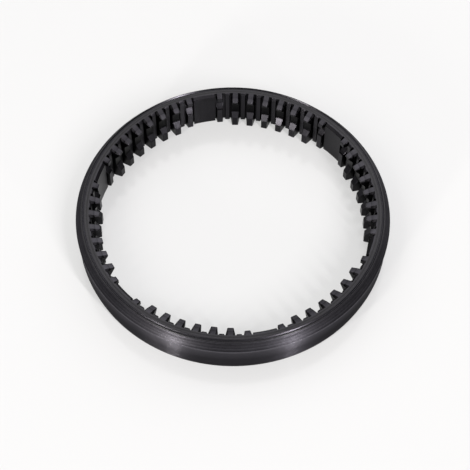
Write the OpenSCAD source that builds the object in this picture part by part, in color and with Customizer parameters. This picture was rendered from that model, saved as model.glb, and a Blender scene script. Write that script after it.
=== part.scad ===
// Sliding ring of a gearbox synchronizer: one turned steel ring with bevelled teeth inside

/* [Outside] */
// Diameter over the flange edge
flange_d = 180; // [160:1:200]
// Height of the ring between its two faces
height = 24.5; // [21:0.5:30]
// Thickness of the wall from the flange edge to the bottom of the grooves
wall = 7.8; // [6.8:0.1:10]
// Straight height of the flange edge
edge_h = 0.9; // [0.6:0.1:1.4]
// Inward reach of the cone between the flange edge and the top face
cone_reach = 3.5; // [2.6:0.1:4]
// Height of the cone between the flange edge and the top face
cone_h = 5.2; // [4.2:0.1:6.2]
// Inward reach of the bevel between the cone and the top face
bevel_reach = 0.3; // [0.2:0.1:0.6]
// Height of the bevel between the cone and the top face
bevel_h = 0.4; // [0.2:0.1:0.6]
// Depth of the plain lower band behind the flange edge
band_inset = 0.7; // [0.4:0.1:1.2]
// Height of the tapered foot at the bottom of the lower band
foot_h = 3.2; // [2:0.2:5]
// Inward taper of the foot
foot_taper = 0.7; // [0.4:0.1:1.2]

/* [Top face] */
// Distance of the turned line from the outer edge of the top face
line_inset = 0.9; // [0.5:0.1:1.2]
// Width of the turned line
line_w = 0.8; // [0.5:0.1:1.2]
// Depth of the turned line
line_depth = 0.4; // [0.2:0.1:0.8]
// Reach of the flat top face over the feet of the teeth, before their ends fall away
face_lap = 0.3; // [0.2:0.1:0.6]

/* [Inside] */
// Number of smooth lands round the ring
land_n = 6; // [4:1:6]
// Positions from one land to the next, the land being one of them
positions = 9; // [7:1:9]
// Width of one land
land_w = 13.2; // [11:0.2:14]
// Height of the lands above the bottom of the grooves
land_rise = 1.8; // [1.2:0.1:2.4]
// Height of the low ridges above the bottom of the grooves
ridge_rise = 1.4; // [0.8:0.1:1.7]
// Width of a low ridge at its top
ridge_w = 2.6; // [2:0.1:2.8]
// Width of a low ridge at its foot
ridge_foot_w = 3.4; // [2.8:0.1:3.6]
// Slope of the turned chamfer at the upper ends of the lands and ridges
chamfer_angle = 45; // [30:1:55]

/* [Teeth] */
// Height of the tall teeth above the bottom of the grooves
tooth_rise = 5.9; // [5:0.1:7]
// Width of a tall tooth at its tip
tip_w = 3.5; // [2.6:0.1:4]
// Width of a tall tooth at its foot
tooth_foot_w = 5.8; // [5:0.1:6]
// Height of the half teeth beside the lands above the bottom of the grooves
half_rise = 3.3; // [2.6:0.1:4]
// Width of a half tooth at its tip
half_tip_w = 3.2; // [2.4:0.1:3.8]
// Width of a half tooth at its foot
half_foot_w = 4.6; // [4:0.1:5]
// Width of the crest at the upper end of a tooth
crest_w = 3; // [1:0.1:3.4]
// Slope of the two bevels beside the crest
bevel_angle = 45; // [30:1:55]
// Slope at which the upper end of a tooth falls towards its tip
end_angle = 23; // [10:1:28]

/* [Detent groove] */
// Depth of the groove across the tall teeth below their tips
detent_depth = 3; // [2:0.1:3.6]
// Height of the tooth tips below the groove
tip_low = 6.6; // [4:0.2:7]
// Height of the tooth tips above the groove
tip_high = 3.3; // [3.2:0.1:5]
// Axial run of each flank of the groove
detent_run = 4; // [2.4:0.2:4.8]
// Height of the top edge of the pocket in the half teeth below the top face
pocket_top = 3.9; // [3:0.1:5]
// Height of the pocket at the tips of the half teeth
pocket_h = 8.4; // [6:0.2:10]
// Slope of the floor of the pocket
pocket_angle = 45; // [20:1:55]

/* [Hidden] */
sector = 360 / land_n;
pitch = sector / positions;
flange_r = flange_d / 2;
band_r = flange_r - band_inset;
foot_r = band_r - foot_taper;
rim_r = flange_r - cone_reach;
line_r = rim_r - line_inset - line_w / 2;
root_r = flange_r - wall;
end_r = root_r - face_lap;
land_r = root_r - land_rise;
ridge_r = root_r - ridge_rise;
tip_r = root_r - tooth_rise;
half_r = root_r - half_rise;
detent_r = tip_r + detent_depth;
edge_top = height - cone_h;
edge_low = edge_top - edge_h;
// Embedding of the inner solids in the wall behind the grooves
bite = 0.5;
// Reach of cutting solids past the faces they cut
past = 1;
$fn = 180;

// Turned section of the wall from the groove bottoms outward
module wall_section() {
    polygon([
        [root_r, 0],
        [foot_r, 0],
        [band_r, foot_h],
        [band_r, edge_low - band_inset],
        [flange_r, edge_low],
        [flange_r, edge_top],
        [rim_r + bevel_reach, height - bevel_h],
        [rim_r, height],
        [line_r + line_w / 2, height],
        [line_r, height - line_depth],
        [line_r - line_w / 2, height],
        [root_r, height]
    ]);
}

// Spline bar with flat flanks and a flush lower end. Its upper end falls inward by tilt from the
// top face, and has a bevel on each side of the crest.
module bar(top_r, top_w, foot_w, crest, tilt) {
    base_r = root_r + bite;
    drop = (foot_w - crest / 2) * tan(bevel_angle);
    reach = 2 * height;
    intersection() {
        linear_extrude(height)
            polygon([
                [top_r, -top_w / 2],
                [root_r, -foot_w / 2],
                [base_r, -foot_w / 2],
                [base_r, foot_w / 2],
                [root_r, foot_w / 2],
                [top_r, top_w / 2]
            ]);
        translate([end_r, 0, height])
            rotate([0, -tilt, 0])
                translate([-reach, 0, 0])
                    rotate([90, 0, 90])
                        linear_extrude(2 * reach)
                            polygon([
                                [-foot_w, -reach],
                                [foot_w, -reach],
                                [foot_w, -drop],
                                [crest / 2, 0],
                                [-crest / 2, 0],
                                [-foot_w, -drop]
                            ]);
    }
}

// Turned groove across the tall teeth, open towards the middle of the ring
module detent() {
    slope = detent_run / detent_depth;
    rotate_extrude()
        polygon([
            [tip_r - past, tip_low - slope * past],
            [detent_r, tip_low + detent_run],
            [detent_r, height - tip_high - detent_run],
            [tip_r - past, height - tip_high + slope * past]
        ]);
}

// Deep pocket in the upper half of the half teeth
module pocket() {
    high = height - pocket_top;
    low = high - pocket_h;
    rotate_extrude()
        polygon([
            [half_r - past, low - past * tan(pocket_angle)],
            [root_r, low + half_rise * tan(pocket_angle)],
            [root_r, high],
            [half_r - past, high]
        ]);
}

// Turned chamfer from the top face down over the lands
module land_chamfer() {
    slope = tan(chamfer_angle);
    rotate_extrude()
        polygon([
            [land_r - past, height - slope * (end_r - land_r + past)],
            [end_r + past, height + slope * past],
            [land_r - past, height + slope * past]
        ]);
}

// Smooth land that takes the place of one tooth and its neighbouring ridges
module land() {
    difference() {
        translate([land_r - past, -land_w / 2, 0])
            cube([land_rise + bite + past, land_w, height]);
        translate([0, 0, -past])
            cylinder(r = land_r, h = height + 2 * past);
        land_chamfer();
    }
}

module tall_teeth() {
    difference() {
        for (s = [0 : land_n - 1])
            for (k = [2 : positions - 2])
                rotate([0, 0, s * sector + k * pitch])
                    bar(tip_r, tip_w, tooth_foot_w, crest_w, end_angle);
        detent();
    }
}

module half_teeth() {
    difference() {
        for (s = [0 : land_n - 1])
            for (k = [-1, 1])
                rotate([0, 0, s * sector + k * pitch])
                    bar(half_r, half_tip_w, half_foot_w, crest_w, end_angle);
        pocket();
    }
}

module low_ridges() {
    for (s = [0 : land_n - 1])
        for (k = [1 : positions - 2])
            rotate([0, 0, s * sector + (k + 0.5) * pitch])
                bar(ridge_r, ridge_w, ridge_foot_w, ridge_foot_w, chamfer_angle);
}

module lands() {
    for (s = [0 : land_n - 1])
        rotate([0, 0, s * sector])
            land();
}

module ring() {
    color([0.16, 0.16, 0.18])
        union() {
            rotate_extrude()
                wall_section();
            lands();
            low_ridges();
            half_teeth();
            tall_teeth();
        }
}

ring();
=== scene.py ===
import math

import bpy
import numpy as np
from mathutils import Matrix, Vector


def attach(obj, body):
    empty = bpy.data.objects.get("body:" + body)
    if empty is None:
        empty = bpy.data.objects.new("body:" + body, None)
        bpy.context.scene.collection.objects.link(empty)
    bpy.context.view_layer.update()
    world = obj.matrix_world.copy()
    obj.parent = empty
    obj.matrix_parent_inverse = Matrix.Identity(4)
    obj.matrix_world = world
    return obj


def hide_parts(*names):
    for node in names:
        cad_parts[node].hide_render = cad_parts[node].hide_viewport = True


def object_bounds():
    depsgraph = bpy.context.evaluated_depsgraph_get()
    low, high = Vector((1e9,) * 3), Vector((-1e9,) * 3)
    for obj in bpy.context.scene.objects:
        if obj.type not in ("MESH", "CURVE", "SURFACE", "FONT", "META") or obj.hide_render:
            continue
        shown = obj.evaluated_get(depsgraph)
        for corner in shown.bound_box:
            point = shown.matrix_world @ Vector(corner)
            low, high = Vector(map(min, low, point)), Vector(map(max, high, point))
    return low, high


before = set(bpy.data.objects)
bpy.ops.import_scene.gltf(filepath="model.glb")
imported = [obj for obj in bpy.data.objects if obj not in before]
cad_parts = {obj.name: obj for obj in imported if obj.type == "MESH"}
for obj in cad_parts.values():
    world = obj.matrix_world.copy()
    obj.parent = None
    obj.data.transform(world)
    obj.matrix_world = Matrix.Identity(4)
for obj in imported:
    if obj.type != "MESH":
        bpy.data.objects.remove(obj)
cad_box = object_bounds()

# Lengths of the ring are in millimetres, and its mesh is in metres
MM = 0.001

# Outside of the ring
FLANGE_R = round(cad_box[1][0] / MM, 2)
HEIGHT = round(cad_box[1][2] / MM, 2)
WALL = 7.8
CONE_REACH, CONE_H = 3.5, 5.2
BEVEL_REACH, BEVEL_H = 0.3, 0.4
EDGE_H = 0.9
BAND_INSET = 0.7
FOOT_TAPER, FOOT_H = 0.7, 3.2
RIM_R = FLANGE_R - CONE_REACH
EDGE_TOP = HEIGHT - CONE_H
EDGE_LOW = EDGE_TOP - EDGE_H
BAND_R = FLANGE_R - BAND_INSET
FOOT_R = BAND_R - FOOT_TAPER
ROOT_R = FLANGE_R - WALL

# Turned line in the top face, and a dull line that the tool left on the cone
LINE_INSET, LINE_HALF, LINE_DEPTH = 0.95, 0.6, 0.5
LINE_R = RIM_R - LINE_INSET
SCRATCH_LOW, SCRATCH_HIGH = HEIGHT - 2.0, HEIGHT - 1.7

# Rings of points on the turned outside: distances from the bottom of the grooves on the two flat
# faces, shares of the foot's slope and of the cone's, rows on the band and how far they stay from
# its ends, rows on the cone and the height of its turned lines
BOTTOM_STEPS, TOP_STEPS = (1.8, 4.2), (1.8, 0.8)
FOOT_SHARES, CONE_SHARES = (0.35, 0.65, 0.93), (0.04, 0.97)
BAND_ROWS, BAND_END = 10, 0.2
CONE_ROWS, CONE_WAVE = 30, 0.012

# Lands and ridges: rise over the bottom of the grooves, half widths at top and foot
LANDS = 6
POSITIONS = 9
LAND_RISE, LAND_HALF = 1.8, 6.6
LAND_R = ROOT_R - LAND_RISE
LAND_COLUMNS = 23
RIDGE_RISE, RIDGE_HALF, RIDGE_FOOT = 1.4, 1.3, 1.7
RIDGE_R = ROOT_R - RIDGE_RISE
CHAMFER_TILT = 1.0

# Teeth: rise over the bottom of the grooves, half widths at tip and foot
TOOTH_RISE, TIP_HALF, TOOTH_FOOT = 5.9, 1.75, 2.9
TIP_R = ROOT_R - TOOTH_RISE
HALF_RISE, HALF_TIP, HALF_FOOT = 3.3, 1.6, 2.3
HALF_R = ROOT_R - HALF_RISE
# Upper ends of the teeth: where they start to fall, fall per length inwards, half width of the
# crest, fall per length beside it, and two small crowns, sideways and inwards
FACE_LAP, END_TILT, CREST_HALF, BEVEL_TILT = 0.3, 0.4245, 1.5, 1.0
END_R = ROOT_R - FACE_LAP
NOSE, CROWN = 0.25, 0.03

# Detent groove across the tall teeth, and pocket in the half teeth
DETENT_DEPTH, DETENT_RUN = 3.0, 4.0
DETENT_R = TIP_R + DETENT_DEPTH
DETENT_LOW, DETENT_HIGH = 6.6, HEIGHT - 3.3
POCKET_LOW, POCKET_HIGH = 12.2, HEIGHT - 4.1

# Small roundings: edges of the bars, their seams with the faces, and hollow corners of the detent
# groove and of the pocket
EDGE = 0.14
FACE_EDGE = 0.2
HOLLOW = 0.4
HOLLOW_REACH = HOLLOW * DETENT_DEPTH / DETENT_RUN
POCKET_HOLLOW = 0.2
# How far the rows on a plain tip stay from the ends of a ridge, from the chamfer of a land and from
# its lower end
RIDGE_END = 4.5
LAND_UPPER_END, LAND_LOWER_END = 0.3, 1.5
# Distance in metres under which two points are one, and angle in degrees of a sharp edge
WELD = 1e-6
SHARP = 32.0

# Colour of the steel at tone 1, turned lines per millimetre, and heights between which the band
# gets lighter, its painted shade fading upwards from the floor
STEEL = (0.1, 0.096, 0.11, 1)
LINES = 1.3
BAND_DARK, BAND_LIGHT = 9.0, 17.5

# Camera in degrees and metres, focal length and side of the picture in pixels
CAMERA_AZIMUTH, CAMERA_ELEVATION, CAMERA_ROLL = 17.1065, 58.0526, 0.5922
CAMERA_DISTANCE, CAMERA_AIM = 0.80683, (0.002179, -0.002693, 0.0)
CAMERA_FOCAL, PICTURE = 1381.37, 470.0
SENSOR = 36.0

# Studio: even light, and glows with their azimuth, elevation, sharpness and strength
EVEN_LIGHT = 0.14
GLOWS = (
    (107, 50, 9.5, 1.35),
    (64, 30, 14.0, 1.9),
    (167, 43, 14.0, 1.7),
    (287, 80, 9.5, 0.3),
    (227, 8, 20.0, 0.8),
    (257, 8, 20.0, 1.0),
    (287, 8, 20.0, 1.0),
    (317, 8, 20.0, 1.0),
    (347, 8, 20.0, 0.3),
)
# Strip lamps: azimuth, elevation, width and height in metres, power in watts, colour
LAMPS = {
    "low_left_lamp": (254.5, 11.0, 0.24, 0.6, 84.0, (1.0, 0.97, 0.93)),
    "low_right_lamp": (320.6, 8.0, 0.2, 0.4, 36.0, (1.0, 0.97, 0.98)),
    "high_left_lamp": (239.5, 42.0, 0.16, 2.0, 55.0, (1.0, 0.97, 0.92)),
    "high_right_lamp": (325.4, 42.0, 0.12, 2.0, 115.0, (1.0, 0.97, 0.98)),
}
# Distance of the lamps, and the point inside the ring that they are aimed at, in metres
LAMP_DISTANCE = 4.0
LAMP_AIM = (0.0, 0.0, 0.012)

# Floor: gap under the ring in metres, grey of the paper, its white and the share of the white
FLOOR_GAP = 0.00005
FLOOR_GREY, FLOOR_WHITE, WHITE_SHARE = 0.6, 0.97, 0.45

# What the height of a row is measured from: the bottom face, down from the upper end of a bar,
# or up from its lower end
AT, UNDER, OVER = 0, 1, 2
# Places across a bar, from its middle to the crest's edge, the tip's edge, the flank and the foot
MIDDLE, CREST_EDGE, TIP_EDGE, FLANK, FOOT = 0, 2, 3, 4, 5
ALL_PLACES = np.arange(-FOOT, FOOT + 1)
FEW_PLACES = np.array([-FOOT, -FLANK, -TIP_EDGE, MIDDLE, TIP_EDGE, FLANK, FOOT])


def root_x(y, r=ROOT_R):
    """Distance x at which a cylinder of radius r is met at the sideways offset y."""
    return np.sqrt(r * r - y * y)


def bar_outline(top_r, cut):
    """Rows of a bar in the plane through the axis, as arrays of reach, base and height: in along
    the upper end, down the tip with its cut, and out along the lower end."""
    rows = [
        (ROOT_R + FACE_EDGE, AT, HEIGHT),
        (ROOT_R, AT, HEIGHT - FACE_EDGE / 4),
        (ROOT_R, UNDER, 0.0),
        (END_R, UNDER, 0.0),
        ((END_R + top_r) / 2, UNDER, -CROWN * (END_R - top_r)),
        (top_r + EDGE, UNDER, 0.0),
        (top_r, UNDER, EDGE),
        *((reach, AT, height) for reach, height in cut),
        (top_r, OVER, 2 * EDGE),
        (top_r + 2 * EDGE, OVER, 0.0),
        (ROOT_R, OVER, 0.0),
        (ROOT_R + FACE_EDGE, AT, 0.0),
    ]
    return np.array(rows, float).T


def bar_columns(top_r, top_half, foot_half, crest_half, tilt, cut, places):
    """Surface of one spline bar as columns by rows.

    A column keeps its place across the bar, a row its place along the outline. The flank is
    straight from tip to foot. The upper end falls inwards by the tilt. It also falls sideways by
    BEVEL_TILT beyond the crest, and by NOSE times the square of the offset over the half foot.
    Each edge has a narrow chamfer."""
    reach, base, height = bar_outline(top_r, cut)
    slope = (foot_half - top_half) / (ROOT_R - top_r)
    flank = top_half + slope * (np.minimum(reach, ROOT_R) - top_r)
    place = np.abs(places)[:, None]
    crest = np.minimum(crest_half, flank - EDGE)
    y = np.where(place <= CREST_EDGE, crest * place / CREST_EDGE, flank - EDGE)
    y = np.where(place == FLANK, np.minimum(flank + slope * EDGE, foot_half), y)
    y = np.where(place == FOOT, foot_half, y)
    x = np.where(place == FOOT, ROOT_R, reach + np.where(place == FLANK, EDGE, 0.0))
    edge_drop = np.where(place >= FLANK, EDGE, 0.0)
    fall = tilt * (END_R - x) + BEVEL_TILT * np.maximum(0.0, y - crest_half)
    fall = fall + NOSE * (y / foot_half) ** 2
    top_z = HEIGHT - np.maximum(0.0, fall) - edge_drop
    z = np.where(base == UNDER, top_z - height, height)
    z = np.where(base == OVER, edge_drop + height, z)
    # The foot of the bar has no end face of its own, so its heights only have to fall steadily
    z = np.minimum.accumulate(z, axis=1)
    x = np.minimum(x, root_x(y))
    return np.stack([x, y * np.sign(places)[:, None], z], -1)


def tooth_bars():
    """The tall tooth with its detent groove, the half tooth with its pocket, whose floor rises
    outwards at 45 degrees, and the low ridge, which has as many rows on its plain tip as they have
    in their cuts. A cut is a list of pairs of reach and height, from the top down."""
    detent = [
        (TIP_R, DETENT_HIGH + EDGE),
        (TIP_R + EDGE, DETENT_HIGH - EDGE),
        (DETENT_R - HOLLOW_REACH, DETENT_HIGH - DETENT_RUN + HOLLOW),
        (DETENT_R, DETENT_HIGH - DETENT_RUN - HOLLOW),
        (DETENT_R, DETENT_LOW + DETENT_RUN + HOLLOW),
        (DETENT_R - HOLLOW_REACH, DETENT_LOW + DETENT_RUN - HOLLOW),
        (TIP_R + EDGE, DETENT_LOW + EDGE),
        (TIP_R, DETENT_LOW - EDGE),
    ]
    floor_high = POCKET_LOW + HALF_RISE
    pocket = [
        (HALF_R, POCKET_HIGH + EDGE),
        (HALF_R + EDGE, POCKET_HIGH),
        (ROOT_R - POCKET_HOLLOW, POCKET_HIGH),
        (ROOT_R, POCKET_HIGH - POCKET_HOLLOW),
        (ROOT_R, floor_high),
        (ROOT_R - POCKET_HOLLOW, floor_high - POCKET_HOLLOW),
        (HALF_R + EDGE, POCKET_LOW + EDGE),
        (HALF_R, POCKET_LOW - EDGE),
    ]
    plain = [(RIDGE_R, h) for h in np.linspace(HEIGHT - RIDGE_END, RIDGE_END, len(detent))]
    tall = bar_columns(TIP_R, TIP_HALF, TOOTH_FOOT, CREST_HALF, END_TILT, detent, ALL_PLACES)
    half = bar_columns(HALF_R, HALF_TIP, HALF_FOOT, CREST_HALF, END_TILT, pocket, ALL_PLACES)
    ridge = bar_columns(
        RIDGE_R, RIDGE_HALF, RIDGE_FOOT, RIDGE_FOOT, CHAMFER_TILT, plain, FEW_PLACES
    )
    return tall, half, ridge


def land_columns(rows):
    """Smooth land as columns by rows: a cylinder patch of radius LAND_R between two flat side
    walls, with a turned chamfer from the top face down to it. The first two rows and the last one
    lie further out than the patch, and the two columns at each side are a wall."""
    high = HEIGHT - CHAMFER_TILT * (END_R - LAND_R)
    z = np.concatenate(
        [
            [HEIGHT, HEIGHT, high],
            np.linspace(high - LAND_UPPER_END, LAND_LOWER_END, rows - 5),
            [FACE_EDGE, 0.0],
        ]
    )
    lift = np.zeros(rows)
    lift[0] = ROOT_R - LAND_R
    lift[1] = END_R - LAND_R
    lift[-1] = FACE_EDGE
    inner = LAND_COLUMNS - 4
    y = np.concatenate(
        [
            [-LAND_HALF, -LAND_HALF],
            np.linspace(-LAND_HALF + EDGE, LAND_HALF - EDGE, inner),
            [LAND_HALF, LAND_HALF],
        ]
    )
    r = np.concatenate(
        [
            [ROOT_R, LAND_R + EDGE],
            np.full(inner, LAND_R),
            [LAND_R + EDGE, ROOT_R],
        ]
    )
    yy = np.repeat(y[:, None], rows, 1)
    xx = np.minimum(root_x(yy, r[:, None]) + lift, root_x(yy) + FACE_EDGE)
    return np.stack([xx, yy, np.repeat(z[None], LAND_COLUMNS, 0)], -1)


def inside_columns():
    """All columns round the ring: in each sixth a land, a half tooth, then ridges and tall teeth
    in turn, and the second half tooth, each turned about the axis to its place."""
    pitch = 2 * np.pi / (LANDS * POSITIONS)
    tall, half, ridge = tooth_bars()
    parts = [(land_columns(tall.shape[1]), 0.0), (half, 1.0)]
    for k in range(1, POSITIONS - 2):
        parts += [(ridge, k + 0.5), (tall, k + 1.0)]
    parts += [(ridge, POSITIONS - 1.5), (half, POSITIONS - 1.0)]
    block = np.concatenate([columns for columns, _ in parts])
    turn = np.concatenate([np.full(len(columns), k * pitch) for columns, k in parts])
    turns = np.concatenate([turn + s * 2 * np.pi / LANDS for s in range(LANDS)])
    block = np.tile(block, (LANDS, 1, 1))
    c, s = np.cos(turns)[:, None], np.sin(turns)[:, None]
    x, y, z = np.moveaxis(block, -1, 0)
    return np.stack([x * c - y * s, x * s + y * c, z], -1)


def rounded(r, z, *steps):
    """Rounding of one corner of the turned outline: points that lie the given steps, outwards and
    upwards, from the corner."""
    return [(r + out, z + up) for out, up in steps]


def cone_rows():
    """Rows of the cone: a straight slope from the flange edge to the bevel. Every second row is
    moved out and up by CONE_WAVE, and the others in and down, which makes fine turned lines."""
    share = np.linspace(*CONE_SHARES, CONE_ROWS)
    wave = CONE_WAVE * np.cos(np.arange(CONE_ROWS) * np.pi)
    r = FLANGE_R - (CONE_REACH - BEVEL_REACH) * share + wave
    z = EDGE_TOP + (CONE_H - BEVEL_H) * share + wave
    return np.stack([r, z], 1)


def turned_profile():
    """Turned outline, as pairs of radius and height, from the inner edge of the bottom face round
    the outside to the inner edge of the top face."""
    neck = EDGE_LOW - BAND_INSET
    stretches = [
        [(ROOT_R + step, 0.0) for step in BOTTOM_STEPS],
        rounded(FOOT_R, 0.0, (-0.25, 0.0), (-0.06, 0.06), (0.03, 0.25)),
        [(FOOT_R + FOOT_TAPER * share, FOOT_H * share) for share in FOOT_SHARES],
        [(BAND_R, h) for h in np.linspace(FOOT_H + BAND_END, neck - BAND_END, BAND_ROWS)],
        rounded(BAND_R, neck, (0.05, 0.04)),
        rounded(FLANGE_R, EDGE_LOW, (-0.07, -0.1), (0.0, 0.1)),
        rounded(FLANGE_R, EDGE_TOP, (0.0, -0.12), (-0.05, 0.05)),
        cone_rows(),
        rounded(RIM_R + BEVEL_REACH, HEIGHT - BEVEL_H, (0.0, -0.12)),
        rounded(RIM_R, HEIGHT, (0.1, -0.17), (-0.12, -0.04), (-0.35, 0.0)),
        rounded(LINE_R + LINE_HALF, HEIGHT, (0.0, -0.06)),
        rounded(LINE_R, HEIGHT - LINE_DEPTH, (0.12, 0.0), (-0.08, -0.03)),
        rounded(LINE_R - LINE_HALF, HEIGHT, (0.05, -0.06), (-0.08, 0.0)),
        [(ROOT_R + step, HEIGHT) for step in TOP_STEPS],
    ]
    return np.concatenate(stretches)


def ring_grid():
    """Points of the whole ring as columns round the axis by rows round its section, and for each
    row the number of its finish: 0 turned, 1 teeth, 2 band. The outside is the turned outline,
    carried round in even steps that start beside the first column of the inside."""
    inside = inside_columns()
    n, rows = inside.shape[:2]
    r, z = turned_profile().T
    steps = np.arange(n) * 2 * np.pi / n
    first = np.unwrap(np.arctan2(inside[:, 0, 1], inside[:, 0, 0]))
    angle = (steps + np.mean(first - steps))[:, None]
    outside = np.stack(np.broadcast_arrays(np.cos(angle) * r, np.sin(angle) * r, z), -1)
    middle = (np.r_[0.0, z] + np.r_[z, HEIGHT]) / 2
    finish = np.r_[np.ones(rows - 1), np.where(middle < EDGE_TOP, 2, 0)]
    return np.concatenate([inside, outside], 1) * MM, finish.astype(np.int32)


def grid_faces(points):
    """Quads of a grid that closes on itself both ways, turned so that they face outwards."""
    n, m = points.shape[:2]
    i, j = np.meshgrid(np.arange(n), np.arange(m), indexing="ij")
    i2, j2 = (i + 1) % n, (j + 1) % m
    quads = np.stack([i * m + j, i * m + j2, i2 * m + j2, i2 * m + j], -1).reshape(-1, 4)
    a, b, c, d = np.moveaxis(points.reshape(-1, 3)[quads], 1, 0)
    volume = np.einsum("ij,ij->i", a, np.cross(b, c) + np.cross(c, d)).sum()
    return quads if volume > 0 else quads[:, ::-1]


def welded_mesh(name, points, quads, finish):
    """Mesh of the quads, with points that fall together joined into one. A quad that loses one
    corner by it is a triangle, and one that loses more is left out."""
    cells = np.round(points / WELD).astype(np.int64)
    _, kept, joined = np.unique(cells, axis=0, return_index=True, return_inverse=True)
    quads = joined.reshape(-1)[quads]
    corner = quads != np.roll(quads, 1, axis=1)
    whole = corner.sum(1) > 2
    corners = quads[corner & whole[:, None]]
    sizes = corner.sum(1)[whole]
    mesh = bpy.data.meshes.new(name)
    mesh.vertices.add(len(kept))
    mesh.vertices.foreach_set("co", points[kept].astype(np.float32).ravel())
    mesh.loops.add(len(corners))
    mesh.loops.foreach_set("vertex_index", corners.astype(np.int32))
    mesh.polygons.add(len(sizes))
    mesh.polygons.foreach_set("loop_start", (np.cumsum(sizes) - sizes).astype(np.int32))
    mesh.polygons.foreach_set("material_index", finish[whole])
    mesh.update(calc_edges=True)
    mesh.validate()
    return mesh


def ring_piece():
    """The ring as one closed piece, smooth but for its sharp edges, with the normals of large
    faces kept flat."""
    grid, finish = ring_grid()
    mesh = welded_mesh(
        "sliding_ring", grid.reshape(-1, 3), grid_faces(grid), np.tile(finish, len(grid))
    )
    mesh.polygons.foreach_set("use_smooth", np.ones(len(mesh.polygons), bool))
    mesh.set_sharp_from_angle(angle=math.radians(SHARP))
    piece = bpy.data.objects.new("sliding_ring", mesh)
    bpy.context.scene.collection.objects.link(piece)
    weight = piece.modifiers.new("even_faces", "WEIGHTED_NORMAL")
    weight.mode = "FACE_AREA"
    weight.keep_sharp = True
    ready = piece.evaluated_get(bpy.context.evaluated_depsgraph_get())
    finished = bpy.data.meshes.new_from_object(ready)
    piece.modifiers.clear()
    piece.data = finished
    return piece


class Tree:
    """Node tree of one material or of the world."""

    def __init__(self, owner):
        owner.use_nodes = True
        self.tree = owner.node_tree
        self.tree.nodes.clear()

    def node(self, kind, settings=None, out=0, **sockets):
        """Adds a node of any type: its settings first, then values or links of its sockets. A
        socket is given by its name, with _ for a space, or by its number after an underscore."""
        made = self.tree.nodes.new("ShaderNode" + kind)
        for name, value in (settings or {}).items():
            setattr(made, name, value)
        for name, value in sockets.items():
            key = int(name[1:]) if name[0] == "_" else name.replace("_", " ")
            self.put(made.inputs[key], value)
        return Value(self, made.outputs[out]) if len(made.outputs) else made

    def put(self, socket, value):
        """Links a value to a socket, or sets a plain number or colour on it."""
        if isinstance(value, Value):
            self.tree.links.new(value.socket, socket)
        else:
            socket.default_value = value

    def math(self, operation, *values):
        """Adds a Math node on one or more values."""
        inputs = {f"_{k}": v for k, v in enumerate(values)}
        return self.node("Math", {"operation": operation}, **inputs)


class Value:
    """A number in a node tree. Python operators on it add Math nodes."""

    def __init__(self, tree, socket):
        self.tree = tree
        self.socket = socket

    def __add__(self, other):
        return self.tree.math("ADD", self, other)

    __radd__ = __add__

    def __mul__(self, other):
        return self.tree.math("MULTIPLY", self, other)

    __rmul__ = __mul__

    def __sub__(self, other):
        return self.tree.math("SUBTRACT", self, other)

    def __rsub__(self, other):
        return self.tree.math("SUBTRACT", other, self)

    def __truediv__(self, other):
        return self.tree.math("DIVIDE", self, other)

    def __rtruediv__(self, other):
        return self.tree.math("DIVIDE", other, self)

    def ramp(self, low, high):
        """0 at low, 1 at high, straight in between and held outside."""
        return self.tree.node("MapRange", {"clamp": True}, Value=self, From_Min=low, From_Max=high)

    def within(self, low, high, soft):
        """1 between low and high, falling to 0 over a soft width outside."""
        return self.ramp(low - soft, low) * self.ramp(high + soft, high)


class Finish(Tree):
    """Blackened steel: the values that its finishes share, in millimetres and object coordinates.

    Round the axis the lines of the tool are one-dimensional noise over height minus radius, so
    that each turned circle has its own tone. The cloud is the uneven oxide, the grain its fine
    surface. All three vary about 0."""

    def __init__(self, name):
        self.material = bpy.data.materials.new(name)
        super().__init__(self.material)
        place = self.node("TexCoord", out="Object")
        self.x, self.y, z = self.parts(place)
        self.radius = self.math("SQRT", self.x * self.x + self.y * self.y)
        self.r = self.radius * (1 / MM)
        self.z = z * (1 / MM)
        across = (self.z - self.r) * LINES
        flat = {"noise_dimensions": "1D"}
        self.lines = self.noise(flat, W=across, Scale=1.0, Detail=3.0, Roughness=0.7)
        self.cloud = self.noise(Vector=place, Scale=55.0, Detail=4.0, Roughness=0.6)
        self.grain = self.noise(Vector=place, Scale=1500.0, Detail=2.0, Roughness=0.5)

    def noise(self, settings=None, **sockets):
        """Noise about 0."""
        return self.node("TexNoise", settings, **sockets) - 0.5

    def parts(self, vector):
        """The three numbers of a vector."""
        split = self.node("SeparateXYZ", Vector=vector).socket.node
        return [Value(self, s) for s in split.outputs]

    def finish(self, tone, metal, rough, relief, gloss, rim, streak):
        """Joins the values to the shader. A rim below 1 dims reflections at flat angles, and a
        streak above 0 stretches reflections across the lines."""
        black = (0, 0, 0, 1)
        colour = self.node("Mix", {"data_type": "RGBA"}, out=2, _0=tone, _6=black, _7=STEEL)
        bump = self.node("Bump", Strength=0.12, Distance=0.0001, Height=relief)
        shader = self.node(
            "BsdfPrincipled",
            Base_Color=colour,
            Metallic=metal,
            Roughness=rough,
            Specular_IOR_Level=gloss,
            Specular_Tint=(rim, rim, rim, 1),
            Anisotropic=streak,
            Anisotropic_Rotation=0.25,
            Normal=bump,
        )
        self.node("OutputMaterial", Surface=shader)
        return self.material


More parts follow.
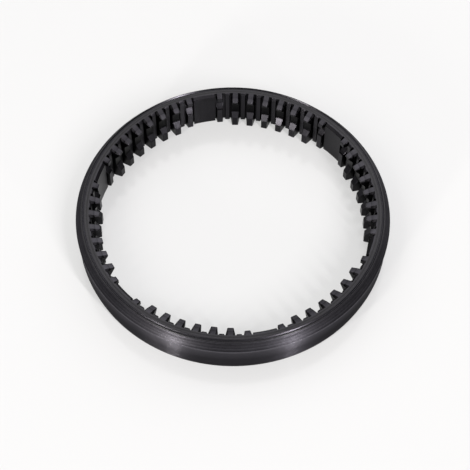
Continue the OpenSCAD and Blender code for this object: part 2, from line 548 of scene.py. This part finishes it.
def turned_finish():
    """Top face and cone: dull oxide on the face with the bright cut of its line, and steel with
    turned lines on the cone, one of them dull."""
    f = Finish("turned_finish")
    line = f.r.within(LINE_R - LINE_HALF, LINE_R + LINE_HALF - 0.05, 0.2)
    line = line * f.z.ramp(HEIGHT - 1.5, HEIGHT - 1.1)
    scratch = f.z.within(SCRATCH_LOW, SCRATCH_HIGH, 0.15)
    cone = f.z.ramp(HEIGHT - 0.25, HEIGHT - 0.5)
    tone = 0.19 + 0.2 * cone - 0.1 * scratch
    tone = tone * (1.0 + 0.7 * f.cloud + 3.6 * f.lines + f.grain) + 0.24 * line
    rough = 0.32 + 0.08 * cone + 0.15 * scratch + 0.4 * f.lines + 0.1 * f.cloud
    metal = f.math("MAXIMUM", line, cone)
    relief = f.lines + 0.25 * f.grain
    return f.finish(tone, metal, rough, relief, gloss=0.4, rim=0.5, streak=0.8)


def band_finish():
    """Flange edge, lower band and foot: finely turned steel, with painted shade that darkens it
    towards the foot, and duller at the flange edge."""
    f = Finish("band_finish")
    foot = f.z.ramp(FOOT_H + 0.1, FOOT_H - 0.2)
    edge = f.z.within(EDGE_LOW - 0.1, EDGE_TOP + 0.05, 0.1)
    # Painted shade: the band darker from BAND_LIGHT down to BAND_DARK, towards the floor, and the
    # foot darker still
    tone = 0.33 - 0.06 * foot + 0.4 * f.z.ramp(BAND_DARK, BAND_LIGHT)
    tone = tone * (1.0 + 0.5 * f.cloud + 0.6 * f.lines + 0.3 * f.grain)
    rough = 0.35 + 0.08 * f.lines + 0.06 * f.cloud
    metal = 1.0 - 0.35 * edge
    relief = 0.6 * f.lines + 0.25 * f.grain
    return f.finish(tone, metal, rough, relief, gloss=0.5, rim=0.5, streak=1.0)


def tooth_finish():
    """Inside: smooth oxide, with painted shade on the flanks, on the bottom of the detent groove
    and on the bevels, and painted light on the slopes of the groove and on the crests of the upper
    ends."""
    f = Finish("tooth_finish")
    nx, ny, nz = f.parts(f.node("TexCoord", out="Normal"))
    sideways = (ny * f.x - nx * f.y) / f.radius
    flank = f.math("ABSOLUTE", sideways).ramp(0.8, 0.93)
    slope = f.r.within(TIP_R + 0.5, DETENT_R - 0.5, 0.3)
    waist_shade = f.r.within(DETENT_R - 0.15, DETENT_R + 0.2, 0.2)
    low = f.r.ramp(RIDGE_R - 0.3, RIDGE_R - 0.1)
    upper = f.z.ramp(POCKET_HIGH + 0.1, POCKET_HIGH + 1.1)
    end = nz.ramp(0.82, 0.88) * upper
    bevel = nz.within(0.5, 0.76, 0.05) * upper
    # Painted shade darkens the flanks, the bottom of the detent groove and the bevels; painted
    # light brightens the slopes of the groove and the up-facing crests of the upper ends; the tone
    # is also lighter from the ridge tips outwards
    tone = 1.0 + 0.7 * slope - 0.8 * waist_shade + 2.2 * end - 0.45 * bevel + 0.3 * low
    tone = 0.18 * (1.0 - 0.65 * flank) * tone
    tone = tone * (1.0 + 1.2 * f.cloud + 0.5 * f.grain)
    rough = 0.33 + 0.12 * end + 0.22 * bevel + 0.2 * f.cloud + 0.1 * f.grain
    relief = f.cloud + 0.5 * f.grain
    return f.finish(tone, 1.0, rough, relief, gloss=0.5, rim=0.8, streak=0.0)


def direction(azimuth, elevation):
    """Unit vector towards an azimuth and an elevation in degrees."""
    a, e = math.radians(azimuth), math.radians(elevation)
    return Vector((math.cos(a) * math.cos(e), math.sin(a) * math.cos(e), math.sin(e)))


def camera():
    """Camera fitted to the turned lines, the outline and the tooth tips of the photograph, with
    no lens shift. Its azimuth counts from the front."""
    back = direction(CAMERA_AZIMUTH - 90.0, CAMERA_ELEVATION)
    right = direction(CAMERA_AZIMUTH, 0.0)
    up = back.cross(right)
    roll = math.radians(CAMERA_ROLL)
    side = right * math.cos(roll) + up * math.sin(roll)
    top = up * math.cos(roll) - right * math.sin(roll)
    data = bpy.data.cameras.new("camera")
    data.sensor_width = SENSOR
    data.lens = SENSOR * CAMERA_FOCAL / PICTURE
    data.clip_start = 0.01
    data.clip_end = 50.0
    obj = bpy.data.objects.new("camera", data)
    bpy.context.scene.collection.objects.link(obj)
    turn = Matrix((side, top, back)).transposed().to_4x4()
    obj.matrix_world = Matrix.Translation(Vector(CAMERA_AIM) + back * CAMERA_DISTANCE) @ turn
    bpy.context.scene.camera = obj


def floor_sheet():
    """Pale glossy floor: a flat round sheet just under the ring, as circles of growing radius.
    To the camera and in reflections a share of it is plain white."""
    radius = np.array([0.0, 0.05, 0.2, 0.6, 2.0, 6.0])
    around = 64
    a = np.arange(around) * 2 * np.pi / around
    points = np.stack(
        [
            np.outer(radius, np.cos(a)).ravel(),
            np.outer(radius, np.sin(a)).ravel(),
            np.full(len(radius) * around, -FLOOR_GAP),
        ],
        1,
    )
    i, j = np.meshgrid(np.arange(len(radius) - 1), np.arange(around), indexing="ij")
    k = (j + 1) % around
    inner, outer = i * around, (i + 1) * around
    quads = np.stack([inner + j, outer + j, outer + k, inner + k], -1)
    mesh = bpy.data.meshes.new("floor")
    mesh.from_pydata(points.tolist(), [], quads.reshape(-1, 4).tolist())
    mesh.validate()
    floor = bpy.data.objects.new("floor", mesh)
    bpy.context.scene.collection.objects.link(floor)
    material = bpy.data.materials.new("pale_floor")
    t = Tree(material)
    grey = (FLOOR_GREY, FLOOR_GREY, FLOOR_GREY, 1)
    paper = t.node("BsdfPrincipled", Base_Color=grey, Roughness=0.16, Specular_IOR_Level=1.0)
    white = t.node("Emission", Color=(FLOOR_WHITE, FLOOR_WHITE, FLOOR_WHITE, 1), Strength=1.0)
    path = t.node("LightPath").socket.node.outputs
    rays = ("Is Camera Ray", "Is Glossy Ray", "Is Transmission Ray")
    seen = sum(Value(t, path[ray]) for ray in rays)
    share = t.math("MINIMUM", seen * WHITE_SHARE, WHITE_SHARE)
    shader = t.node("MixShader", _0=share, _1=paper, _2=white)
    t.node("OutputMaterial", Surface=shader)
    mesh.materials.append(material)


def lamp(name, azimuth, elevation, width, height, power, colour):
    """Strip lamp aimed at the ring, placed by azimuth and elevation."""
    towards = direction(azimuth, elevation)
    data = bpy.data.lights.new(name, "AREA")
    data.shape = "RECTANGLE"
    data.size = width
    data.size_y = height
    data.energy = power
    data.color = colour
    obj = bpy.data.objects.new(name, data)
    bpy.context.scene.collection.objects.link(obj)
    obj.location = Vector(LAMP_AIM) + towards * LAMP_DISTANCE
    obj.rotation_mode = "QUATERNION"
    obj.rotation_quaternion = towards.to_track_quat("Z", "Y")


def room():
    """Pale studio: faint even light and soft glows. The light of a glow is its strength times the
    exponential of its sharpness times the cosine of the angle from its middle minus 1."""
    world = bpy.data.worlds.new("studio")
    bpy.context.scene.world = world
    t = Tree(world)
    place = t.node("TexCoord", out="Generated")
    total = EVEN_LIGHT
    for azimuth, elevation, sharpness, strength in GLOWS:
        middle = direction(azimuth, elevation)
        dot = {"operation": "DOT_PRODUCT"}
        near = t.node("VectorMath", dot, out="Value", _0=place, _1=middle)
        total = t.math("EXPONENT", (near - 1.0) * sharpness) * strength + total
    shade = t.node("Background", Color=(1, 1, 1, 1), Strength=total)
    t.node("OutputWorld", Surface=shade)


camera()
ring = ring_piece()
for finish in (turned_finish(), tooth_finish(), band_finish()):
    ring.data.materials.append(finish)
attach(ring, "root")
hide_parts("ring")
floor_sheet()
room()
for name, settings in LAMPS.items():
    lamp(name, *settings)

view = bpy.context.scene.view_settings
view.view_transform = "Standard"
